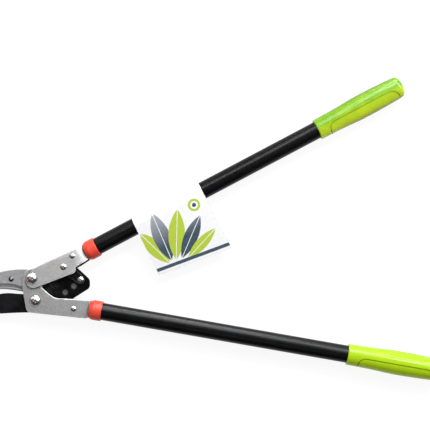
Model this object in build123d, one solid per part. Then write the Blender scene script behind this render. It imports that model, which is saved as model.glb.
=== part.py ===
"""Bypass loppers with a compound-action head.

The lower handle carries the hook. The upper handle turns on the hook's side plates, and a pair of
links carries its turn to the tail of the blade, which turns on a second pivot.

X runs along the tool towards the grips, Y across it, Z from its back to its front. The origin is on
the axis of the handle pivot, in the plane that the tool lies on. Lengths are in millimetres.
"""
from build123d import *
import math
import os

# Layout of the head. Each handle has its own frame, with X along its tube.
upper_handle_angle = 27.9
lower_handle_angle = -9.9
blade_pivot_x = 4.2
blade_pivot_y = -32.5
upper_tube_offset = -3.2
lower_tube_offset = 0.7
upper_reach = 85.4
lower_reach = 79.0
link_pin_along = 47.8
link_pin_across = -6.6
tail_pin_x = 69.1
tail_pin_y = -2.6
upper_rivet_along = 66.6
upper_rivet_across = 1.2
lower_rivet_along = 56.6
lower_rivet_across = -1.9

# Travel of the head, in degrees, which the tail and the tangs make room for
handle_closing = 16.0
blade_closing = 10.7
link_closing = 17.5
linkage_play = 1.2
relief_gap = 0.8

# Sheet and plate thicknesses
blade_thickness = 4.0
counter_thickness = 1.6
hook_thickness = 2.4
plate_thickness = 2.5
link_thickness = 2.5

# Outlines of the jaws and of the blade's tail, from the handle pivot
hook_back = [(-1, 11.8), (-18, 12.6), (-47, 8.5), (-80, -8), (-104, -35)]
hook_beak = [(-104, -35), (-104.4, -38), (-101.8, -38.4)]
hook_mouth = [(-101.8, -38.4), (-84, -19), (-62, -9.8), (-47, -7.8), (-25.5, -9.6), (-14, -13.5)]
hook_root = [(-14, -13.5), (-12, -30), (-2, -45), (14, -44), (15, -20), (13, 7), (-1, 11.8)]
hook_root_rounds = [8, 10, 10, 14, 12]
counter_edge = [(-102.6, -40), (-84, -26), (-64, -18.2), (-47.5, -16), (-34, -16.6), (-13, -20)]
counter_back = [(-9, -9), (-30.7, 3), (-62, 1.5), (-84, -11), (-102.6, -36.5)]
blade_edge = [(-9, -23.5), (-20.3, -23.2), (-36.3, -22), (-47.9, -23.3), (-70, -31), (-100.5, -53.5)]
blade_tip = [(-100.5, -53.5), (-102, -56.5), (-99, -58)]
blade_spine = [(-99, -58), (-62, -53), (-30, -50.8), (2, -50)]
tail_corners = [
    (-9, -22.5), (-12, -48), (16, -47.5), (44, -37), (58, -30),
    (82.3, -14.7), (82.3, -2.5), (60.5, 17.6), (50, 6), (20, -7),
]
tail_rounds = [6, 8, 16, 20, 0, 8, 9, 4, 8, 20]

# Shapes of the plates, the tangs and the blade
lobe_radius = 13.4
upper_step_along = 62.4
upper_end_round = 2.5
upper_tang_start = 57.6
lower_tang_start = 46.0
link_pin_end_radius = 8.8
link_tail_end_radius = 5.8
joggle_length = 5.8
joggle_depth = 2.4
joggle_flat = 0.8
bevel_width = 8.0
edge_thickness = 0.4
bevel_start = 0.12
dimple_places = [(59.4, -11.7), (46.8, -20.7)]
dimple_radius = 9.5
dimple_depth = 1.2
hook_rivet_places = [(-30.7, -1.2), (-69.0, -7.0)]

# Clearances
sliding_gap = 0.1
fit_clearance = 0.05
butt_gap = 0.3

# Fasteners
pivot_diameter = 8.0
pivot_head_diameter = 15.4
pivot_head_height = 4.6
nut_across_flats = 13.0
nut_thickness = 5.4
washer_diameter = 17.0
washer_thickness = 1.3
spacer_diameter = 14.0
thrust_washer_diameter = 22.0
link_pin_diameter = 6.0
link_pin_head = 8.7
link_spacer_diameter = 11.0
tail_pin_diameter = 4.0
tail_pin_head = 8.6
rivet_diameter = 4.0
rivet_head = 7.3
rivet_head_height = 1.8
head_rim_share = 0.22

# Tubes, collars and grips
tube_diameter = 25.0
tube_wall = 1.5
tube_bare_length = 360.5
tube_in_grip = 112.0
stub_length = 42.0
collar_diameter = 28.8
collar_length = 18.2
collar_front_diameter = 24.2
collar_taper = 5.0
collar_wall = 3.0
collar_round = 0.8
collar_shoulder_round = 2.0
collar_lip_round = 0.45
grip_length = 139.8
grip_mouth_width = 30.2
grip_lip_round = 1.6
grip_waist_width = 31.0
grip_belly_width = 34.8
grip_heel_width = 31.6
grip_flatness = 0.919
grip_waist_along = 0.17
grip_belly_along = 0.53
grip_end_round = 9.0
grip_end_bulge = 1.0
groove_width = 1.4
groove_depth = 0.8

# Folded card on the upper tube
card_thickness = 0.5
card_start = 168.5
card_length = 108.0
card_lean = 4.6
card_drop_left = 78.9
card_drop_right = 93.5
card_seam_drop = 97.0
card_clearance = 0.25

# Levels of the stack, measured from the middle plane of the tubes
rest_height = grip_belly_width * grip_flatness / 2
stack_depth = blade_thickness + counter_thickness + hook_thickness + 2 * sliding_gap
lower_inner = stack_depth / 2
lower_outer = lower_inner + plate_thickness
upper_inner = lower_outer + sliding_gap
upper_outer = upper_inner + plate_thickness
hook_bottom = lower_inner - hook_thickness
counter_bottom = hook_bottom - counter_thickness
blade_bottom = -lower_inner + sliding_gap
blade_top = blade_bottom + blade_thickness
link_front_bottom = blade_top + sliding_gap
link_front_top = link_front_bottom + link_thickness
link_back_top = blade_bottom - sliding_gap
link_back_bottom = link_back_top - link_thickness
washer_top = -upper_outer - sliding_gap
washer_bottom = washer_top - washer_thickness


def outline(points, radii):
    """A closed flat shape with rounded corners."""
    return make_face(FilletPolyline(*points, radius=radii, close=True))


def slab(shape, bottom, top):
    """A flat shape given thickness between two levels of the stack."""
    return extrude(Pos(0, 0, bottom) * shape, amount=top - bottom)


def post(x, y, diameter, bottom, top):
    """A round solid standing at a point of the head."""
    return slab(Pos(x, y) * Circle(diameter / 2), bottom, top)


def dome(diameter, height):
    """A domed head with a short upright rim, its flat underside on the XY plane."""
    radius = diameter / 2
    rise = height * (1 - head_rim_share)
    ball_radius = (radius * radius + rise * rise) / (2 * rise)
    ball = Pos(0, 0, height - ball_radius) * Sphere(ball_radius)
    return ball & Cylinder(radius, height, align=(Align.CENTER, Align.CENTER, Align.MIN))


def rivet(diameter, head_diameter, head_height, bottom, top):
    """A rivet with a dome at each end of its shank."""
    shank = post(0, 0, diameter, bottom, top)
    head = dome(head_diameter, head_height)
    return shank + Pos(0, 0, top) * head + Pos(0, 0, bottom) * Rot(180, 0, 0) * head


def on_lower_handle(shape):
    """Carries a shape from the lower handle's frame to the tool's."""
    return Location((blade_pivot_x, blade_pivot_y, rest_height), (0, 0, lower_handle_angle)) * shape


def on_upper_handle(shape):
    """Carries a shape from the upper handle's frame to the tool's."""
    return Location((0, 0, rest_height), (0, 0, upper_handle_angle)) * shape


def on_head(shape):
    """Carries a shape from the level of the tubes to the tool's frame."""
    return Pos(0, 0, rest_height) * shape


def turned_into(angle, point):
    """A point of the tool's frame, seen from a frame turned by an angle."""
    a = math.radians(angle)
    return (
        point[0] * math.cos(a) + point[1] * math.sin(a),
        point[1] * math.cos(a) - point[0] * math.sin(a),
    )


handle_pivot_on_lower = turned_into(lower_handle_angle, (-blade_pivot_x, -blade_pivot_y))


# ---- Fixed jaw ----

def jaw_hole(x, y):
    return post(x, y, pivot_diameter + 2 * fit_clearance, -rest_height, rest_height)


def hook_plate():
    """The hooked arm, from its beak to the two pivots."""
    jaw = Spline(*hook_back) + ThreePointArc(*hook_beak) + Spline(*hook_mouth)
    root = FilletPolyline(*hook_root, radius=hook_root_rounds)
    body = slab(make_face(jaw + root), hook_bottom, lower_inner)
    for x, y in hook_rivet_places:
        body -= post(x, y, rivet_diameter, hook_bottom, lower_inner)
    return on_head(body - jaw_hole(0, 0) - jaw_hole(blade_pivot_x, blade_pivot_y))


def counter_blade():
    """The hardened strip behind the hook, whose edge passes the blade."""
    ends = Line(counter_edge[-1], counter_back[0]) + Line(counter_back[-1], counter_edge[0])
    body = slab(make_face(Spline(*counter_edge) + Spline(*counter_back) + ends), counter_bottom, hook_bottom)
    for x, y in hook_rivet_places:
        body -= post(x, y, rivet_diameter, counter_bottom, hook_bottom)
    return on_head(body)


def hook_rivets():
    """Rivets domed on the hook's face and flush on the blade's side."""
    group = []
    for x, y in hook_rivet_places:
        shank = post(x, y, rivet_diameter, counter_bottom, lower_inner)
        group.append(on_head(shank + Pos(x, y, lower_inner) * dome(rivet_head, rivet_head_height)))
    return Compound(children=group)


def lower_plate_outline():
    """The silver side plate: a lobe round the handle pivot and an arm along the tube."""
    px, py = handle_pivot_on_lower
    end = lower_reach - butt_gap
    arm = outline(
        [(px - lobe_radius, py), (px - lobe_radius, 20.0), (-8.9, -18.4), (end - 3.5, -12.8), (end, -11.6),
         (end, 14.2), (26, 8.2), (px + lobe_radius, 21.5), (px + lobe_radius, py)],
        [0, 24, 8, 0, 0, 1.2, 22, 8, 0])
    return arm + Pos(px, py) * Circle(lobe_radius)


def lower_plate(bottom, top):
    plate = slab(lower_plate_outline(), bottom, top)
    px, py = handle_pivot_on_lower
    plate -= jaw_hole(px, py)
    plate -= jaw_hole(0, 0)
    plate -= post(lower_rivet_along, lower_rivet_across, rivet_diameter, bottom, top)
    return on_lower_handle(plate)


def lower_front_plate():
    return lower_plate(lower_inner, lower_outer)


def lower_back_plate():
    return lower_plate(-lower_outer, -lower_inner)


def handle_stub(reach, tube_offset):
    """The round end of a tang, which the tube slides over."""
    stub_radius = tube_diameter / 2 - tube_wall - fit_clearance
    start = reach - butt_gap
    stub = Pos(start, tube_offset, 0) * Rot(0, 90, 0) * Cylinder(
        stub_radius, stub_length, align=(Align.CENTER, Align.CENTER, Align.MIN))
    return chamfer(stub.edges().sort_by(Axis.X)[-1], 1.0)


def lower_tang():
    """The forged tang between the lower plates, cut back where the blade's tail comes down."""
    end = lower_reach - butt_gap
    corners = [(lower_tang_start, -12.6), (lower_tang_start, 6), (end, 6), (end, -11.0)]
    flat = outline(corners, [2, 0, 0, 0])
    to_shut = Rot(0, 0, -lower_handle_angle - blade_closing) * Pos(-blade_pivot_x, -blade_pivot_y)
    shut_tail = to_shut * tail_outline()
    body = slab(flat - offset(shut_tail, relief_gap), -lower_inner, lower_inner)
    body -= post(lower_rivet_along, lower_rivet_across, rivet_diameter, -lower_inner, lower_inner)
    return on_lower_handle(body + handle_stub(lower_reach, lower_tube_offset))


def lower_tang_rivet():
    pin = rivet(rivet_diameter, rivet_head, rivet_head_height, -lower_outer, lower_outer)
    return on_lower_handle(Pos(lower_rivet_along, lower_rivet_across, 0) * pin)


# ---- Tube, collar and grip, alike on both handles ----

def tube(reach, offset):
    start = reach + collar_wall
    length = collar_length - collar_wall + tube_bare_length + tube_in_grip
    ring = Circle(tube_diameter / 2) - Circle(tube_diameter / 2 - tube_wall)
    return Pos(start, offset, 0) * Rot(0, 90, 0) * extrude(ring, amount=length)


def collar(reach, offset):
    """A plastic ring that covers the tube's end, tapered towards the plates."""
    outer = collar_diameter / 2
    front = collar_front_diameter / 2
    mouth = tube_diameter / 2 - tube_wall + fit_clearance
    bore = tube_diameter / 2 + fit_clearance
    profile = FilletPolyline(
        (0, mouth), (0, front), (collar_taper, outer), (collar_length, outer), (collar_length, bore),
        (collar_wall - fit_clearance, bore), (collar_wall - fit_clearance, mouth),
        radius=[0, collar_lip_round, collar_shoulder_round, collar_round, 0, 0, 0], close=True)
    ring = revolve(make_face(profile), Axis.X)
    return Pos(reach, offset, 0) * ring


def grip_profile(inset):
    """Half of the grip's outline, drawn smaller by an inset."""
    rim = grip_mouth_width / 2 - inset
    lip = CenterArc((grip_lip_round, rim - grip_lip_round), grip_lip_round, 90, 90)
    mouth = (grip_lip_round, rim)
    waist = (grip_length * grip_waist_along, grip_waist_width / 2 - inset)
    belly = (grip_length * grip_belly_along, grip_belly_width / 2 - inset)
    heel = (grip_length - grip_end_round, grip_heel_width / 2 - inset)
    tip = (grip_length - inset, 0)
    front = Spline(mouth, waist, tangents=[(1, 0), (1, 0)]) + Spline(waist, belly, tangents=[(1, 0), (1, 0)])
    back = Spline(belly, heel, tangents=[(1, 0), (1, -0.06)])
    shoulder = (grip_length - inset - grip_end_bulge, heel[1] - grip_end_round)
    corner = Spline(heel, shoulder, tangents=[(1, -0.06), (0.2, -1)])
    end = Spline(shoulder, tip, tangents=[(0.2, -1), (0, -1)])
    base = Polyline(tip, (0, 0), (0, rim - grip_lip_round))
    return make_face(lip + front + back + corner + end + base)


def grip_groove():
    """The line round the grip's palm pad, as a narrow band through the grip."""
    depth = grip_belly_width
    pad = [(12.5, -depth), (19.5, -1.4), (grip_length - 13, -1.4), (grip_length - 13, -depth)]
    inner = outline(pad, [0, 9, 13, 0])
    band = offset(inner, groove_width) - inner
    return slab(band, -depth, depth)


def grip(reach, offset_across):
    """The grip, turned round and then flattened a little from front to back."""
    core = revolve(grip_profile(groove_depth), Axis.X)
    body = revolve(grip_profile(0), Axis.X) - (grip_groove() - core)
    bore_radius = tube_diameter / 2 + fit_clearance
    bore = Plane.YZ * Ellipse(bore_radius, bore_radius / grip_flatness)
    body -= extrude(bore, amount=tube_in_grip + butt_gap)
    start = reach + collar_length + tube_bare_length
    return Pos(start, offset_across, 0) * scale(body, by=(1, 1, grip_flatness))


def lower_tube():
    return on_lower_handle(tube(lower_reach, lower_tube_offset))


def lower_collar():
    return on_lower_handle(collar(lower_reach, lower_tube_offset))


def lower_grip():
    return on_lower_handle(grip(lower_reach, lower_tube_offset))


def upper_tube():
    return on_upper_handle(tube(upper_reach, upper_tube_offset))


def upper_collar():
    return on_upper_handle(collar(upper_reach, upper_tube_offset))


def upper_grip():
    return on_upper_handle(grip(upper_reach, upper_tube_offset))


# ---- Upper handle's head ----

def upper_plate_outline():
    end = upper_reach - butt_gap
    step = upper_step_along
    corners = [
        (6.7, 11.6), (end, 9.0), (end, -13.8), (step, -15.6), (step - 1.4, -22.1), (-10.5, -13.3), (-9.6, 2.2),
    ]
    return outline(corners, [1.5, upper_end_round, 0, 1.5, 6, 9, 3])


def joggled_sheet():
    """A sheet on its edge that steps towards the tube just before the collar."""
    end = upper_reach - butt_gap
    bend = end - joggle_length
    low = end - joggle_flat
    far = -3 * pivot_head_diameter
    inside = upper_inner - joggle_depth
    outside = upper_outer - joggle_depth
    side = Polyline(
        (far, upper_inner), (bend, upper_inner), (low, inside), (end, inside),
        (end, outside), (low, outside), (bend, upper_outer), (far, upper_outer), close=True)
    width = 3 * tube_diameter
    return extrude(Plane.XZ * make_face(side), amount=width, both=True)


def upper_front_plate():
    plate = slab(upper_plate_outline(), upper_inner - joggle_depth, upper_outer) & joggled_sheet()
    plate -= jaw_hole(0, 0)
    plate -= post(link_pin_along, link_pin_across, link_pin_diameter, upper_inner, upper_outer)
    plate -= post(upper_rivet_along, upper_rivet_across, rivet_diameter, upper_inner, upper_outer)
    return plate


def upper_back_plate():
    return mirror(upper_front_plate(), Plane.XY)


def upper_tang():
    """The forged tang between the upper plates, relieved for the blade's tail and the links."""
    end = upper_reach - butt_gap
    bend = end - joggle_length
    start = upper_tang_start
    step = upper_step_along
    flat = outline([(start, 7.5), (start, -13), (step, -17.8), (end - 1, -16), (end, -14.6), (end, 7.2)],
                   [2, 2, 2, 0, 0, 0])
    body = slab(flat, -upper_inner, upper_inner)
    bevel = slab(Pos((bend + end) / 2, 0) * Rectangle(end - bend, 3 * tube_diameter),
                 upper_inner - joggle_depth, upper_inner)
    body -= bevel + mirror(bevel, Plane.XY)
    to_shut = Rot(0, 0, handle_closing - upper_handle_angle) * Pos(blade_pivot_x, blade_pivot_y)
    shut_tail = to_shut * Rot(0, 0, -blade_closing) * Pos(-blade_pivot_x, -blade_pivot_y) * tail_outline()
    body -= slab(offset(shut_tail, relief_gap), blade_bottom - relief_gap, blade_top + relief_gap)
    shut_link = Pos(link_pin_along, link_pin_across) * Rot(0, 0, link_closing) * Pos(
        -link_pin_along, -link_pin_across) * link_outline()
    body -= slab(offset(shut_link, relief_gap), link_front_bottom, link_front_top + butt_gap)
    body -= slab(offset(shut_link, relief_gap), -upper_inner, link_back_top)
    body -= post(upper_rivet_along, upper_rivet_across, rivet_diameter, -upper_inner, upper_inner)
    return body + handle_stub(upper_reach, upper_tube_offset)


def upper_tang_rivet():
    pin = rivet(rivet_diameter, rivet_head, rivet_head_height, -upper_outer, upper_outer)
    return Pos(upper_rivet_along, upper_rivet_across, 0) * pin


def link_pin():
    pin = rivet(link_pin_diameter, link_pin_head, rivet_head_height, -upper_outer, upper_outer)
    return Pos(link_pin_along, link_pin_across, 0) * pin


def link_spacer():
    """A bush on the link pin, between the front link and the front plate."""
    ring = Circle(link_spacer_diameter / 2) - Circle(link_pin_diameter / 2 + fit_clearance)
    return Pos(link_pin_along, link_pin_across, 0) * slab(ring, link_front_top + sliding_gap, upper_inner)


def hang_card():
    """A card folded over the tube, its two leaves falling to a seam below."""
    inner = tube_diameter / 2 + card_clearance
    sleeve = card_profile(inner + card_thickness, card_seam_drop) - card_profile(inner, card_seam_drop - 2.5)
    body = Pos(card_start - card_lean, 0, 0) * extrude(Plane.YZ * sleeve, amount=card_length + card_lean)
    end = card_start + card_length
    edge = Polyline(
        (card_start, 2 * tube_diameter), (card_start - card_lean, -card_drop_left),
        (end - card_lean / 3, -card_drop_right), (end, 2 * tube_diameter), close=True)
    return Pos(0, upper_tube_offset, 0) * (body & slab(make_face(edge), -2 * tube_diameter, 2 * tube_diameter))


def card_profile(radius, drop):
    """The card's section, seen along the tube: a round top with two straight leaves."""
    rise = radius * radius / drop
    half = radius * math.sqrt(1 - (radius / drop) ** 2)
    top = ThreePointArc((-rise, half), (radius, 0), (-rise, -half))
    leaves = Polyline((-rise, -half), (-drop, 0), (-rise, half))
    return make_face(top + leaves)


# ---- Blade ----

def tail_outline():
    """The blade's hub and tail, seen from the front."""
    return outline(tail_corners, tail_rounds)


def beside(curve, distance):
    """A curve drawn beside another, from just past its start."""
    points = []
    for i in range(9):
        share = bevel_start + (1 - bevel_start) * i / 8
        place, heading = curve @ share, curve % share
        points.append((place.X - heading.Y * distance, place.Y + heading.X * distance))
    return Spline(*points)


def bevel_wedge(edge):
    """What is ground off the blade's back along its cutting edge."""
    outwards = -bevel_width * edge_thickness / (blade_thickness - edge_thickness)
    faces = []
    for distance, level in ((bevel_width, blade_bottom), (outwards, blade_top)):
        curve = beside(edge, distance)
        heel, tip = curve @ 0, curve @ 1
        far = Polyline((tip.X, tip.Y), (-130, tip.Y), (-130, 20), (heel.X, 20), (heel.X, heel.Y))
        faces.append(Pos(0, 0, level) * make_face(curve + far))
    return loft(faces, ruled=True)


def cutting_blade():
    """The blade and its tail, which the links pull."""
    edge = Spline(*blade_edge)
    heel, root = blade_edge[0], blade_spine[-1]
    back = ThreePointArc(*blade_tip) + Spline(*blade_spine) + Polyline(root, (root[0], heel[1]), heel)
    body = slab(make_face(edge + back) + tail_outline(), blade_bottom, blade_top)
    body -= bevel_wedge(edge)
    body -= jaw_hole(blade_pivot_x, blade_pivot_y)
    body -= post(tail_pin_x, tail_pin_y, tail_pin_diameter, blade_bottom, blade_top)
    for x, y in dimple_places:
        body -= Pos(x, y, blade_top + dimple_radius - dimple_depth) * Sphere(dimple_radius)
    return on_head(body)


def tail_pin():
    bottom = link_back_bottom - sliding_gap
    top = link_front_top + sliding_gap
    pin = rivet(tail_pin_diameter, tail_pin_head, rivet_head_height, bottom, top)
    return on_head(Pos(tail_pin_x, tail_pin_y, 0) * pin)


# ---- Links ----

def link_outline():
    """A link plate's outline in the upper handle's frame, wide at the handle's pin."""
    tx, ty = turned_into(upper_handle_angle, (tail_pin_x, tail_pin_y))
    wide = Pos(link_pin_along, link_pin_across) * Circle(link_pin_end_radius)
    narrow = Pos(tx, ty) * Circle(link_tail_end_radius)
    return make_hull((wide + narrow).edges())


def link(bottom, top):
    """A link plate, with play round the tail pin for the linkage's swing."""
    tx, ty = turned_into(upper_handle_angle, (tail_pin_x, tail_pin_y))
    body = slab(link_outline(), bottom, top)
    body -= post(link_pin_along, link_pin_across, link_pin_diameter + 2 * fit_clearance, bottom, top)
    body -= post(tx, ty, tail_pin_diameter + 2 * linkage_play + 2 * fit_clearance, bottom, top)
    return on_upper_handle(body)


# ---- Pivot fasteners ----

def hex_nut():
    blank = extrude(RegularPolygon(nut_across_flats / 2, 6, major_radius=False), amount=nut_thickness)
    corner = nut_across_flats / math.cos(math.radians(30)) / 2
    turned = Cylinder(corner, nut_thickness, align=(Align.CENTER, Align.CENTER, Align.MIN))
    turned = chamfer(turned.edges().filter_by(GeomType.CIRCLE), 0.9)
    return (blank & turned) - Cylinder(pivot_diameter / 2 + fit_clearance, 3 * nut_thickness)


def washer(diameter, bottom, top):
    ring = Circle(diameter / 2) - Circle(pivot_diameter / 2 + fit_clearance)
    return slab(ring, bottom, top)


def pivot_bolt(head_level, nut_bottom):
    """A domed bolt whose end is flush with its nut."""
    shank = post(0, 0, pivot_diameter, nut_bottom, head_level)
    return shank + Pos(0, 0, head_level) * dome(pivot_head_diameter, pivot_head_height)


def at_blade_pivot(shape):
    return on_head(Pos(blade_pivot_x, blade_pivot_y, 0) * shape)


handle_nut_bottom = washer_bottom - nut_thickness
blade_washer_bottom = -lower_outer - washer_thickness
blade_nut_bottom = blade_washer_bottom - nut_thickness

nodes = {
    "hook_plate": hook_plate(),
    "counter_blade": counter_blade(),
    "hook_rivets": hook_rivets(),
    "lower_front_plate": lower_front_plate(),
    "lower_back_plate": lower_back_plate(),
    "lower_tang": lower_tang(),
    "lower_tang_rivet": lower_tang_rivet(),
    "lower_collar": lower_collar(),
    "lower_tube": lower_tube(),
    "lower_grip": lower_grip(),
    "handle_pivot_bolt": on_head(pivot_bolt(upper_outer + sliding_gap, handle_nut_bottom)),
    "handle_pivot_spacer": on_head(washer(spacer_diameter, -lower_inner, hook_bottom)),
    "handle_pivot_washer": on_head(washer(washer_diameter, washer_bottom, washer_top)),
    "handle_pivot_nut": on_head(Pos(0, 0, handle_nut_bottom) * hex_nut()),
    "blade_pivot_bolt": at_blade_pivot(pivot_bolt(lower_outer, blade_nut_bottom)),
    "blade_thrust_washer": at_blade_pivot(washer(thrust_washer_diameter, counter_bottom, hook_bottom)),
    "blade_pivot_washer": at_blade_pivot(washer(washer_diameter, blade_washer_bottom, -lower_outer)),
    "blade_pivot_nut": at_blade_pivot(Pos(0, 0, blade_nut_bottom) * hex_nut()),
    "upper_front_plate": on_upper_handle(upper_front_plate()),
    "upper_back_plate": on_upper_handle(upper_back_plate()),
    "upper_tang": on_upper_handle(upper_tang()),
    "upper_tang_rivet": on_upper_handle(upper_tang_rivet()),
    "upper_collar": upper_collar(),
    "upper_tube": upper_tube(),
    "upper_grip": upper_grip(),
    "link_pin": on_upper_handle(link_pin()),
    "link_spacer": on_upper_handle(link_spacer()),
    "hang_card": on_upper_handle(hang_card()),
    "cutting_blade": cutting_blade(),
    "tail_pin": tail_pin(),
    "link_front": link(link_front_bottom, link_front_top),
    "link_back": link(link_back_bottom, link_back_top),
}

os.makedirs("parts", exist_ok=True)
for name, shape in nodes.items():
    export_step(shape, f"parts/{name}.step")
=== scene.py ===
"""Bypass loppers lying on their back: the CAD parts with their finishes, under plain studio light."""
import bpy
import bmesh
import math
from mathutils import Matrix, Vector


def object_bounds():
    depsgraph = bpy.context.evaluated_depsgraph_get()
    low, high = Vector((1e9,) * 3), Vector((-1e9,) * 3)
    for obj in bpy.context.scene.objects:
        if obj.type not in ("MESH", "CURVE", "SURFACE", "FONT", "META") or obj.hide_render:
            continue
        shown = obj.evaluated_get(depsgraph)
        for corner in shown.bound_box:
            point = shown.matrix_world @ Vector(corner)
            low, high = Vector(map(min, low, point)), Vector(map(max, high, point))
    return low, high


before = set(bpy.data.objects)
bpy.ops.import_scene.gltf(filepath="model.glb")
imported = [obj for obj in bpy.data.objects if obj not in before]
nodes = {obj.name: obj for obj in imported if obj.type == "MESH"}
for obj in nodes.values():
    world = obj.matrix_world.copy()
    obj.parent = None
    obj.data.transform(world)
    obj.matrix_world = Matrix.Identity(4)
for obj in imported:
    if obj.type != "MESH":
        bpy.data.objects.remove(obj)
cad_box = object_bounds()


# ---- Hook and counter blade ----
# The hook is stamped from sheet steel and satin ground. The strip behind it is hardened, ground along
# its curve, and held to the hook by two small rivets.

def finish(name, colour, roughness, metallic=0.0):
    """A material with one Principled shader."""
    material = bpy.data.materials.new(name)
    material.use_nodes = True
    shader = material.node_tree.nodes["Principled BSDF"]
    shader.inputs["Base Color"].default_value = (*colour, 1)
    shader.inputs["Roughness"].default_value = roughness
    shader.inputs["Metallic"].default_value = metallic
    return material


def add(owner, kind, **values):
    """A new node of a material or world, with its settings and its unlinked sockets given by name."""
    node = owner.node_tree.nodes.new("ShaderNode" + kind)
    for name, value in values.items():
        if hasattr(node, name):
            setattr(node, name, value)
        else:
            node.inputs[name.replace("_", " ")].default_value = value
    return node


def join(owner, source, target):
    owner.node_tree.links.new(source, target)


def shader_input(material, name):
    return material.node_tree.nodes["Principled BSDF"].inputs[name]


def shade(colour, share):
    """A colour made darker or lighter by a share."""
    return tuple(share * channel for channel in colour)


def place(material, origin=(0, 0, 0), angle=0.0):
    """Object coordinates seen from a frame with its own origin and turn about Z, in metres."""
    where = add(material, "TexCoord")
    turned = add(material, "Mapping", vector_type="TEXTURE")
    turned.inputs["Location"].default_value = origin
    turned.inputs["Rotation"].default_value = (0, 0, math.radians(angle))
    join(material, where.outputs["Object"], turned.inputs["Vector"])
    return turned.outputs["Vector"]


def split(material, vector):
    """The X and the Y of a vector."""
    parts = add(material, "SeparateXYZ")
    join(material, vector, parts.inputs[0])
    return parts.outputs["X"], parts.outputs["Y"]


def flattened(material, vector):
    """A vector without its Z."""
    flat = add(material, "VectorMath", operation="MULTIPLY")
    flat.inputs[1].default_value = (1, 1, 0)
    join(material, vector, flat.inputs[0])
    return flat.outputs["Vector"]


def distance(material, vector, point=(0, 0, 0)):
    """How far a vector is from a point."""
    gap = add(material, "VectorMath", operation="DISTANCE")
    gap.inputs[1].default_value = point
    join(material, vector, gap.inputs[0])
    return gap.outputs["Value"]


def ramp(owner, value, start, end, low=0.0, high=1.0):
    """Goes from a low to a high level between two values, and stays level outside them."""
    slope = add(owner, "MapRange", From_Min=start, From_Max=end, To_Min=low, To_Max=high)
    join(owner, value, slope.inputs["Value"])
    return slope.outputs["Result"]


noise_span = (0.32, 0.68)


def grain(material, vector, scale, detail=4.0, low=0.0, high=1.0):
    """Noise, spread between two levels."""
    noise = add(material, "TexNoise", Scale=scale, Detail=detail, Roughness=0.55)
    join(material, vector, noise.inputs["Vector"])
    return ramp(material, noise.outputs["Fac"], *noise_span, low, high)


def rings(material, radius, scale, detail):
    """Noise with one level at each radius."""
    noise = add(material, "TexNoise", noise_dimensions="1D", Scale=scale, Detail=detail)
    join(material, radius, noise.inputs["W"])
    return noise.outputs["Fac"]


def blend(material, factor, first, second):
    """A colour between two, each a colour or an output."""
    mix = add(material, "Mix", data_type="RGBA", clamp_factor=True)
    for value, socket in ((factor, 0), (first, 6), (second, 7)):
        if isinstance(value, bpy.types.NodeSocket):
            join(material, value, mix.inputs[socket])
        else:
            mix.inputs[socket].default_value = (*value, 1)
    return mix.outputs[2]


def reckon(owner, operation, *values):
    """The result of a Math node on numbers or outputs."""
    node = add(owner, "Math", operation=operation)
    for value, socket in zip(values, node.inputs):
        if isinstance(value, bpy.types.NodeSocket):
            join(owner, value, socket)
        else:
            socket.default_value = value
    return node.outputs[0]


def relief(material, height, depth, edge_round=0.0):
    """Bump of a given depth in metres, over edges rounded off by a radius."""
    bump = add(material, "Bump", Strength=1.0, Distance=depth)
    join(material, height, bump.inputs["Height"])
    if edge_round:
        rounded = add(material, "Bevel", samples=4, Radius=edge_round)
        join(material, rounded.outputs["Normal"], bump.inputs["Normal"])
    join(material, bump.outputs["Normal"], shader_input(material, "Normal"))


weld_distance = 1e-7
sharp_angle = 28


def smooth_faces():
    """Geometry nodes that weld a CAD mesh's triangles and shade its round faces smoothly."""
    tree = bpy.data.node_groups.new("smooth_faces", "GeometryNodeTree")
    tree.interface.new_socket("Geometry", in_out="INPUT", socket_type="NodeSocketGeometry")
    tree.interface.new_socket("Geometry", in_out="OUTPUT", socket_type="NodeSocketGeometry")
    start, end = tree.nodes.new("NodeGroupInput"), tree.nodes.new("NodeGroupOutput")
    weld = tree.nodes.new("GeometryNodeMergeByDistance")
    weld.inputs["Distance"].default_value = weld_distance
    faces = tree.nodes.new("GeometryNodeSetShadeSmooth")
    edges = tree.nodes.new("GeometryNodeSetShadeSmooth")
    edges.domain = "EDGE"
    edges.inputs["Shade Smooth"].default_value = False
    turn = tree.nodes.new("GeometryNodeInputMeshEdgeAngle")
    sharp = tree.nodes.new("FunctionNodeCompare")
    sharp.operation = "GREATER_THAN"
    sharp.inputs[1].default_value = math.radians(sharp_angle)
    links = tree.links
    links.new(start.outputs[0], weld.inputs["Geometry"])
    links.new(weld.outputs["Geometry"], faces.inputs["Geometry"])
    links.new(faces.outputs["Geometry"], edges.inputs["Geometry"])
    links.new(turn.outputs["Unsigned Angle"], sharp.inputs[0])
    links.new(sharp.outputs["Result"], edges.inputs["Selection"])
    links.new(edges.outputs["Geometry"], end.inputs[0])
    return tree


smoother = smooth_faces()


def dress(material, *names):
    """Gives CAD nodes their finish, with round faces shaded smoothly."""
    for name in names:
        node = nodes[name]
        node.data.materials.clear()
        node.data.materials.append(material)
        node.modifiers.new("smooth", "NODES").node_group = smoother


edge_facing = (0.995, 0.90)


def edge_wear_and_highlight(material, width):
    """One at a piece's edges and nought on its faces, by how far rounding turns the surface."""
    rounded = add(material, "Bevel", samples=6, Radius=width)
    true = add(material, "NewGeometry")
    facing = add(material, "VectorMath", operation="DOT_PRODUCT")
    join(material, rounded.outputs["Normal"], facing.inputs[0])
    join(material, true.outputs["True Normal"], facing.inputs[1])
    return ramp(material, facing.outputs["Value"], *edge_facing)


def painted_gap_shade(material, reach, shut=0.45, clear=0.9):
    """One in narrow gaps and grooves, nought in the open: a mask for painted shade."""
    hollow = add(material, "AmbientOcclusion", samples=8, Distance=reach)
    return ramp(material, hollow.outputs["AO"], shut, clear, 1.0, 0.0)


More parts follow.
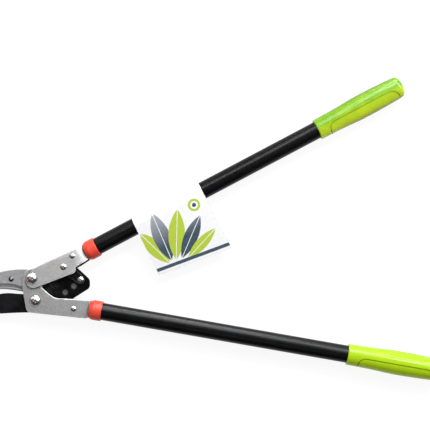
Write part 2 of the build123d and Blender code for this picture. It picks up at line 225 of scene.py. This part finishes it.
satin_dark, satin_light, satin_gap_shade = 0.74, 1.14, 0.12
lap_y = (-0.026, -0.018)


def satin_steel(name, colour, roughness, edge_round, edge_highlight, lap_x=None, lap_colour=None):
    """Ground or tumbled steel: a fine grain in its colour, gloss and surface, a painted highlight on its
    edges by a share and painted shade in its gaps.

    Where hook and lower plates lap, which starts and is full at two values of X and of Y, edges get no
    painted highlight or shade and the tone is the lap's.
    """
    steel = finish(name, colour, roughness, 1.0)
    here = place(steel)
    lapped = 0.0
    if lap_x:
        x, y = split(steel, here)
        lapped = reckon(steel, "MULTIPLY", ramp(steel, x, *lap_x), ramp(steel, y, *lap_y))
    open_share = reckon(steel, "SUBTRACT", 1.0, lapped)
    cloud = grain(steel, here, 55, 3)
    fine = grain(steel, here, 520, 3)
    tone = reckon(steel, "ADD", reckon(steel, "MULTIPLY", cloud, 0.3), reckon(steel, "MULTIPLY", fine, 0.7))
    satin = blend(steel, tone, shade(colour, satin_dark), shade(colour, satin_light))
    if lap_colour:
        meeting = blend(steel, tone, shade(lap_colour, satin_dark), shade(lap_colour, satin_light))
        satin = blend(steel, lapped, satin, meeting)
    # Edges are lit towards white: a painted highlight.
    edge = reckon(steel, "MULTIPLY", reckon(steel, "MULTIPLY", edge_wear_and_highlight(steel, edge_round), edge_highlight), open_share)
    satin = blend(steel, edge, satin, (1.0, 1.0, 1.0))
    # Gaps and grooves are darkened: painted shade.
    gap_shade = reckon(steel, "MULTIPLY", painted_gap_shade(steel, 0.004), open_share)
    satin = blend(steel, gap_shade, satin, shade(colour, satin_gap_shade))
    join(steel, satin, shader_input(steel, "Base Color"))
    gloss = grain(steel, here, 400, 2, roughness - 0.05, roughness + 0.06)
    join(steel, gloss, shader_input(steel, "Roughness"))
    relief(steel, fine, 0.000016, edge_round)
    return steel


hook_steel = satin_steel("hook_steel", (0.445, 0.445, 0.459), 0.54, 0.0008, 0.6, (-0.030, -0.024))
dress(hook_steel, "hook_plate")

grinding_centre = (-0.043, -0.117, 0)
strip_steel = finish("strip_steel", (0.40, 0.41, 0.43), 0.5, 1.0)
radius = distance(strip_steel, flattened(strip_steel, place(strip_steel, grinding_centre)))
lines = ramp(strip_steel, rings(strip_steel, radius, 430.0, 3.0), 0.35, 0.65)
join(strip_steel, blend(strip_steel, lines, (0.10, 0.105, 0.115), (0.66, 0.67, 0.69)),
     shader_input(strip_steel, "Base Color"))
relief(strip_steel, lines, 0.00001, 0.0005)
dress(strip_steel, "counter_blade")


# ---- Side plates ----
# Each handle ends in a pair of stamped steel plates, nickel plated and tumbled to a fine satin, with
# their edges broken. The upper pair steps in towards the tube just before its collar.

# The plates' edges get a painted highlight and their gaps painted shade.
lower_plate_steel = satin_steel("lower_plate_steel", (0.437, 0.440, 0.441), 0.55, 0.0016, 1.0,
                                (-0.008, -0.012), (0.435, 0.435, 0.447))
dress(lower_plate_steel, "lower_front_plate", "lower_back_plate")
upper_plate_steel = satin_steel("upper_plate_steel", (0.517, 0.520, 0.520), 0.55, 0.0016, 1.0)
dress(upper_plate_steel, "upper_front_plate", "upper_back_plate")


# ---- Cutting blade ----
# The blade and its tail are one forged plate with a black low-friction coat, bevelled on the back.
# The plates and links have rubbed the tail, and two shallow round marks are left by the press.

blade_pivot = (0.0042, -0.0325, 0)
rubbed_spot = (0.029, -0.010, 0.016)
press_marks = [(0.0594, -0.0117, 0.016), (0.0468, -0.0207, 0.016)]
coat = finish("blade_coat", (0.008, 0.008, 0.009), 0.42)
shader_input(coat, "IOR").default_value = 1.20
here = place(coat)
radius = distance(coat, place(coat, blade_pivot))
streak = ramp(coat, rings(coat, radius, 700.0, 4.0), 0.42, 0.68)
patch = grain(coat, here, 70, 4, -0.2, 1.0)
near = ramp(coat, distance(coat, here, rubbed_spot), 0.004, 0.017, 1.0, 0.05)
rubbed = reckon(coat, "MULTIPLY", reckon(coat, "MULTIPLY", streak, patch), near)
inside = [ramp(coat, distance(coat, here, mark), 0.0030, 0.0049, 1.0, 0.0) for mark in press_marks]
pressed = reckon(coat, "MAXIMUM", *inside)
black = blend(coat, grain(coat, here, 120, 5), (0.0006, 0.0006, 0.0008), (0.0018, 0.0018, 0.0021))
jaw = ramp(coat, split(coat, here)[0], -0.009, -0.013)
scuffed = blend(coat, grain(coat, here, 85, 3), (0.0018, 0.0018, 0.0026), (0.0105, 0.0100, 0.0118))
worn = blend(coat, rubbed, blend(coat, jaw, black, scuffed), (0.085, 0.085, 0.088))
join(coat, blend(coat, pressed, worn, (0.075, 0.075, 0.079)), shader_input(coat, "Base Color"))
join(coat, grain(coat, here, 300, 3, 0.30, 0.42), shader_input(coat, "Roughness"))
relief(coat, grain(coat, here, 700), 0.00002, 0.0004)
dress(coat, "cutting_blade")


# ---- Tangs and links ----
# The tangs, whose stubs fill the tubes' front ends, and the pair of link plates are forged and
# painted black. Their edges are worn a little brighter, which also serves as a painted highlight.

paint = finish("black_paint", (0.010, 0.010, 0.011), 0.38)
shader_input(paint, "IOR").default_value = 1.3
here = place(paint)
painted = blend(paint, grain(paint, here, 160), (0.001, 0.001, 0.0013), (0.003, 0.003, 0.0036))
# Edges worn to bare metal, partly real wear and partly a painted highlight.
chipped_and_lit_edge = reckon(paint, "MULTIPLY", edge_wear_and_highlight(paint, 0.0009), grain(paint, here, 190, 3, 0.2, 0.6))
join(paint, blend(paint, chipped_and_lit_edge, painted, (0.42, 0.42, 0.43)), shader_input(paint, "Base Color"))
join(paint, grain(paint, here, 260, 3, 0.3, 0.46), shader_input(paint, "Roughness"))
relief(paint, grain(paint, here, 500), 0.00003, 0.0006)
dress(paint, "upper_tang", "lower_tang", "link_front", "link_back")


# ---- Pivots, pins and rivets ----
# Domed bolts hold the two pivots, with a washer and a nut behind. The link pin, tail pin and tang
# rivets are turned, domed at both ends and bright plated, like the bolts. The hook's two small
# rivets have a painted highlight in the middle and a painted ring of shade around it.

plating = finish("bright_plating", (0.80, 0.79, 0.77), 0.12, 1.0)
here = place(plating)
join(plating, blend(plating, grain(plating, here, 250, 3), (0.70, 0.69, 0.68), (0.86, 0.85, 0.83)),
     shader_input(plating, "Base Color"))
join(plating, grain(plating, here, 600, 3, 0.18, 0.27), shader_input(plating, "Roughness"))
relief(plating, grain(plating, here, 900, 2), 0.000008, 0.0003)
dress(plating, "handle_pivot_bolt", "handle_pivot_spacer", "handle_pivot_washer", "handle_pivot_nut",
      "blade_pivot_bolt", "blade_thrust_washer", "blade_pivot_washer", "blade_pivot_nut",
      "lower_tang_rivet", "upper_tang_rivet", "link_pin", "link_spacer", "tail_pin")

hook_rivet_axes = [(-0.0307, -0.0012, 0), (-0.0690, -0.0070, 0)]
painted_glint_rivet = finish("hook_rivet_painted_glint", (0.5, 0.5, 0.5), 0.24, 1.0)
here = place(painted_glint_rivet)
flat = flattened(painted_glint_rivet, here)
from_axis = [distance(painted_glint_rivet, flat, axis) for axis in hook_rivet_axes]
# A painted highlight in the middle, in a painted dark ring of shade.
shade_ring = ramp(painted_glint_rivet, reckon(painted_glint_rivet, "MINIMUM", *from_axis), 0.0013, 0.0018)
join(painted_glint_rivet, blend(painted_glint_rivet, shade_ring, (0.85, 0.85, 0.85), (0.07, 0.07, 0.072)), shader_input(painted_glint_rivet, "Base Color"))
relief(painted_glint_rivet, grain(painted_glint_rivet, here, 900, 2), 0.000008, 0.0003)
dress(painted_glint_rivet, "hook_rivets")


# ---- Tubes ----
# Drawn steel tubes with a gloss black enamel, sprayed and baked, which leaves a very faint ripple.
# Each slides over its tang's stub, and its far end is inside the grip.

enamel = finish("tube_enamel", (0.0025, 0.0025, 0.003), 0.29)
shader_input(enamel, "IOR").default_value = 1.26
here = place(enamel)
join(enamel, blend(enamel, grain(enamel, here, 40, 3), (0.0018, 0.0018, 0.0022), (0.0035, 0.0035, 0.0042)),
     shader_input(enamel, "Base Color"))
join(enamel, grain(enamel, here, 150, 3, 0.29, 0.35), shader_input(enamel, "Roughness"))
relief(enamel, grain(enamel, here, 420, 2), 0.00001)
dress(enamel, "upper_tube", "lower_tube")


# ---- Collars ----
# A moulded ring of orange-red plastic covers each tube's front end. Its surface is satin from the
# mould, and it is pressed on.

orange = finish("collar_plastic", (0.75, 0.066, 0.034), 0.4)
shader_input(orange, "Specular IOR Level").default_value = 0.35
here = place(orange)
join(orange, blend(orange, grain(orange, here, 90), (0.72, 0.060, 0.030), (0.775, 0.072, 0.038)),
     shader_input(orange, "Base Color"))
join(orange, grain(orange, here, 400, 3, 0.32, 0.45), shader_input(orange, "Roughness"))
relief(orange, grain(orange, here, 1500, 3), 0.00003)
dress(orange, "upper_collar", "lower_collar")


# ---- Grips ----
# Each grip is a moulded sleeve of lime plastic, pushed over the tube's end. A groove outlines its
# palm pad, and low ridges run along its back.

upper_turn, lower_turn = 27.9, -9.9
upper_grip_start, lower_grip_start = (0.4641, -0.0032), (0.4577, 0.0007)
ridge_pitch = 0.0042
side_shade_dark, groove_shade_dark = 0.45, 0.38


def grip_mouth(pivot, turn, start):
    """A grip's front end, from its place along and across a handle that turns about a pivot."""
    along, across = start
    a = math.radians(turn)
    return (pivot[0] + along * math.cos(a) - across * math.sin(a),
            pivot[1] + along * math.sin(a) + across * math.cos(a), 0.016)


def grip_plastic(name, colour, deep, side_shade_share, origin, angle):
    """Lime plastic, deeper in colour towards the palm pad, with painted shade on its sides and in its groove,
    and ridges along the back.
    """
    lime = finish(name, colour, 0.33)
    here = place(lime, origin, angle)
    x, y = split(lime, here)
    share = reckon(lime, "ADD", ramp(lime, y, -0.017, 0.004, 1.0, 0.0), grain(lime, here, 45, 3, -0.1, 0.1))
    skin_colour = blend(lime, share, colour, deep)
    # The grip's sides are darkened: painted shade.
    side = ramp(lime, reckon(lime, "ABSOLUTE", y), 0.0125, 0.0165)
    skin_colour = blend(lime, reckon(lime, "MULTIPLY", side, side_shade_share), skin_colour, shade(colour, side_shade_dark))
    # The groove and the gaps are darkened: painted shade.
    skin_colour = blend(lime, painted_gap_shade(lime, 0.0016, 0.62, 0.97), skin_colour, shade(deep, groove_shade_dark))
    join(lime, skin_colour, shader_input(lime, "Base Color"))
    join(lime, grain(lime, here, 300, 3, 0.22, 0.30), shader_input(lime, "Roughness"))
    shader_input(lime, "IOR").default_value = 1.42
    shader_input(lime, "Specular IOR Level").default_value = 0.4
    wave = reckon(lime, "SINE", reckon(lime, "MULTIPLY", y, 2 * math.pi / ridge_pitch))
    back = ramp(lime, y, 0.003, 0.007)
    body = ramp(lime, x, 0.040, 0.065)
    tail = ramp(lime, x, 0.104, 0.118, 1.0, 0.0)
    where = reckon(lime, "MULTIPLY", reckon(lime, "MULTIPLY", body, tail), back)
    ridges = reckon(lime, "MULTIPLY", wave, where)
    skin = reckon(lime, "MULTIPLY", grain(lime, here, 900, 2), 0.042)
    relief(lime, reckon(lime, "ADD", ridges, skin), 0.00013)
    shader_input(lime, "Subsurface Weight").default_value = 0.08
    shader_input(lime, "Subsurface Radius").default_value = (0.004, 0.006, 0.001)
    shader_input(lime, "Subsurface Scale").default_value = 1.0
    return lime


# The two grips are one plastic: their different colours are painted light on the lower grip and painted shade
# on the upper.
upper_lime = grip_plastic("upper_grip_lime", (0.150, 0.335, 0.006), (0.66, 0.78, 0.030), 0.65,
                          grip_mouth((0, 0), upper_turn, upper_grip_start), upper_turn)
lower_lime = grip_plastic("lower_grip_lime", (0.37, 0.60, 0.008), (0.50, 0.71, 0.004), 0.2,
                          grip_mouth(blade_pivot, lower_turn, lower_grip_start), lower_turn)
dress(upper_lime, "upper_grip")
dress(lower_lime, "lower_grip")


# ---- Hang card ----
# A sleeve of white coated board, folded over the upper tube so that its two sides hang from it. It is
# printed with five leaves, a ring with a dot and a bar in lime and slate, and friction holds it.

card = finish("printed_card", (0.90, 0.90, 0.915), 0.3)
here = place(card, angle=upper_turn)
x, y = split(card, here)
flat = flattened(card, here)
lime_ink, slate_ink, board = (0.41, 0.53, 0.045), (0.045, 0.075, 0.105), (0.80, 0.80, 0.83)
ink_blur = 0.0003
vein_half_width = 0.0009
edge_slope, edge_drop = 0.132, 0.0592
bar_from_edge, bar_width = 0.006, 0.005


def within(gap, limit):
    """One where a distance is under a limit, with a soft edge."""
    return ramp(card, gap, limit - ink_blur, limit + ink_blur, 1.0, 0.0)


def leaf(base, tip, width):
    """A pointed leaf, where two circles overlap, split by a pale vein, in millimetres."""
    base, tip = Vector(base) / 1000, Vector(tip) / 1000
    half, rise = (tip - base).length / 2, width / 2000
    radius = (half * half + rise * rise) / (2 * rise)
    along = (tip - base).normalized()
    side = Vector((-along.y, along.x))
    reach = []
    for sign in (1, -1):
        centre = (base + tip) / 2 + side * sign * (radius - rise)
        reach.append(distance(card, flat, (centre.x, centre.y, 0)))
    shape = within(reckon(card, "MAXIMUM", *reach), radius)
    middle = reckon(card, "ABSOLUTE", reckon(card, "SUBTRACT", *reach))
    return reckon(card, "MULTIPLY", shape, reckon(card, "SUBTRACT", 1.0, within(middle, vein_half_width)))


ink = blend(card, grain(card, here, 30, 3), (0.79, 0.79, 0.815), (0.81, 0.81, 0.83))
slate_fade = blend(card, ramp(card, y, -0.050, 0.004, 0.0, 0.8), slate_ink, (0.50, 0.51, 0.54))
for base, tip, width, colour in (
        ((186, -74), (168, -16), 21, lime_ink), ((190, -72), (197, 2), 25, slate_fade),
        ((196, -74), (232, -10), 24, lime_ink), ((204, -76), (257, -33), 20, slate_fade),
        ((212, -80), (268, -60), 16, lime_ink)):
    ink = blend(card, leaf(base, tip, width), ink, colour)
from_ring = distance(card, flat, (0.256, -0.016, 0))
for radius, colour in ((0.009, lime_ink), (0.0055, board), (0.003, slate_ink)):
    ink = blend(card, within(from_ring, radius), ink, colour)
above_edge = reckon(card, "ADD", reckon(card, "ADD", y, reckon(card, "MULTIPLY", x, edge_slope)), edge_drop)
bar = within(reckon(card, "ABSOLUTE", reckon(card, "SUBTRACT", above_edge, bar_from_edge)), bar_width / 2)
ink = blend(card, bar, ink, slate_ink)
ink = blend(card, reckon(card, "MULTIPLY", edge_wear_and_highlight(card, 0.0006), 0.8), ink, (0.45, 0.45, 0.46))
join(card, ink, shader_input(card, "Base Color"))
join(card, grain(card, here, 200, 3, 0.22, 0.34), shader_input(card, "Roughness"))
relief(card, grain(card, here, 350), 0.00002)
dress(card, "hang_card")


# ---- Floor, light and camera ----
# The tool lies on a white floor under a dark tent with lit patches, seen only in reflections. Three
# soft lamps stand on its far side, and the camera looks straight down.

def direct_rays(owner):
    """One for rays from the camera, off glossy faces and through clear ones, and nought for the rest."""
    path = add(owner, "LightPath")
    seen = reckon(owner, "MAXIMUM", path.outputs["Is Camera Ray"], path.outputs["Is Glossy Ray"])
    return reckon(owner, "MAXIMUM", seen, path.outputs["Is Transmission Ray"])


def white_to_view(material, strength, share):
    """Shows white to direct rays by a share, and leaves the rest for the shadow."""
    seen = direct_rays(material)
    glow = add(material, "Emission", Strength=strength)
    mix = add(material, "MixShader")
    join(material, reckon(material, "MULTIPLY", seen, share), mix.inputs[0])
    join(material, material.node_tree.nodes["Principled BSDF"].outputs[0], mix.inputs[1])
    join(material, glow.outputs[0], mix.inputs[2])
    join(material, mix.outputs[0], material.node_tree.nodes["Material Output"].inputs["Surface"])


def place_mesh(name, shape):
    """An object in the scene, made from a bmesh."""
    mesh = bpy.data.meshes.new(name)
    shape.to_mesh(mesh)
    thing = bpy.data.objects.new(name, mesh)
    bpy.context.collection.objects.link(thing)
    return thing


floor_drop = 0.0003
middle_of_tool = (cad_box[0] + cad_box[1]) / 2
sheet = bmesh.new()
bmesh.ops.create_grid(sheet, x_segments=1, y_segments=1, size=15)
bmesh.ops.translate(sheet, vec=(middle_of_tool.x, middle_of_tool.y, -floor_drop), verts=sheet.verts)
floor = place_mesh("floor", sheet)
floor_white = finish("floor_white", (0.85, 0.85, 0.85), 0.9)
white_to_view(floor_white, 1.06, 0.86)
floor.data.materials.append(floor_white)

tent_radius, tent_hem = 3.0, 0.05
shell = bmesh.new()
bmesh.ops.create_icosphere(shell, subdivisions=4, radius=tent_radius)
below = [face for face in shell.faces if face.calc_center_median().z < tent_hem]
bmesh.ops.delete(shell, geom=below, context="FACES")
bmesh.ops.reverse_faces(shell, faces=shell.faces)
tent = place_mesh("light_tent", shell)
cloth = bpy.data.materials.new("tent_cloth")
cloth.use_nodes = True
cloth.node_tree.nodes.remove(cloth.node_tree.nodes["Principled BSDF"])
where = add(cloth, "TexCoord")
heading = add(cloth, "VectorMath", operation="NORMALIZE")
join(cloth, where.outputs["Object"], heading.inputs[0])
white, rust = (1, 1, 1), (1, 0.3, 0.225)
light = shade(white, 0.04)
for direction, start_angle, end_angle, hue, level in (
        ((0, 0.94, 0.34), 62, 30, white, 0.14),
        ((0.20, 0.95, 0.22), 14, 6, white, 26.0),
        ((-0.51, 0.71, 0.49), 10, 4, white, 9.0),
        ((0.08, -0.42, 0.90), 9, 4, white, 1.8),
        ((-0.45, -0.05, 0.89), 22, 8, white, 0.45),
        ((0.69, 0.37, 0.62), 24, 12, white, 7.0),
        ((-0.74, 0.60, 0.30), 26, 14, white, 1.3),
        ((-0.85, -0.25, 0.45), 28, 14, rust, 0.20)):
    facing = add(cloth, "VectorMath", operation="DOT_PRODUCT")
    facing.inputs[1].default_value = Vector(direction).normalized()
    join(cloth, heading.outputs[0], facing.inputs[0])
    patch = add(cloth, "MapRange", interpolation_type="SMOOTHSTEP",
                From_Min=math.cos(math.radians(start_angle)), From_Max=math.cos(math.radians(end_angle)))
    join(cloth, facing.outputs["Value"], patch.inputs["Value"])
    light = blend(cloth, patch.outputs[0], light, shade(hue, level))
glow = add(cloth, "Emission")
join(cloth, light, glow.inputs["Color"])
join(cloth, glow.outputs[0], cloth.node_tree.nodes["Material Output"].inputs["Surface"])
tent.data.materials.append(cloth)
for ray in ("camera", "diffuse", "shadow", "transmission", "volume_scatter"):
    setattr(tent, "visible_" + ray, False)


def lamp(name, position, target, size, power):
    """A rectangular soft lamp that faces a point, with its long side along X."""
    light = bpy.data.lights.new(name, "AREA")
    light.shape, light.size, light.size_y = "RECTANGLE", size[0], size[1]
    light.energy = power
    stand = bpy.data.objects.new(name, light)
    bpy.context.collection.objects.link(stand)
    away = Vector(position) - Vector(target)
    stand.location = position
    stand.rotation_euler = away.to_track_quat("Z", "Y").to_euler()


lamp("right_lamp", (0.72, 1.28, 1.08), (0.30, 0.0, 0), (1.5, 0.35), 33)
lamp("left_lamp", (0.02, 0.82, 1.10), (0.40, 0.10, 0), (0.6, 0.25), 7)
lamp("side_lamp", (1.50, 0.72, 1.12), (0.1, 0.05, 0), (0.6, 0.6), 5)

sky_on_matt = 0.26
world = bpy.data.worlds.new("studio")
bpy.context.scene.world = world
world.use_nodes = True
sky = world.node_tree.nodes["Background"]
join(world, ramp(world, direct_rays(world), 0.0, 1.0, sky_on_matt, 1.0), sky.inputs["Strength"])
sky.inputs["Color"].default_value = (1, 1, 1, 1)

camera_data = bpy.data.cameras.new("camera")
camera_data.lens = 79.55
camera_data.sensor_width = 36
camera_data.clip_end = 50
camera = bpy.data.objects.new("camera", camera_data)
camera.location = (0.2639, 0.0912, 1.3935)
bpy.context.collection.objects.link(camera)
scene = bpy.context.scene
scene.camera = camera
scene.view_settings.view_transform = "Standard"
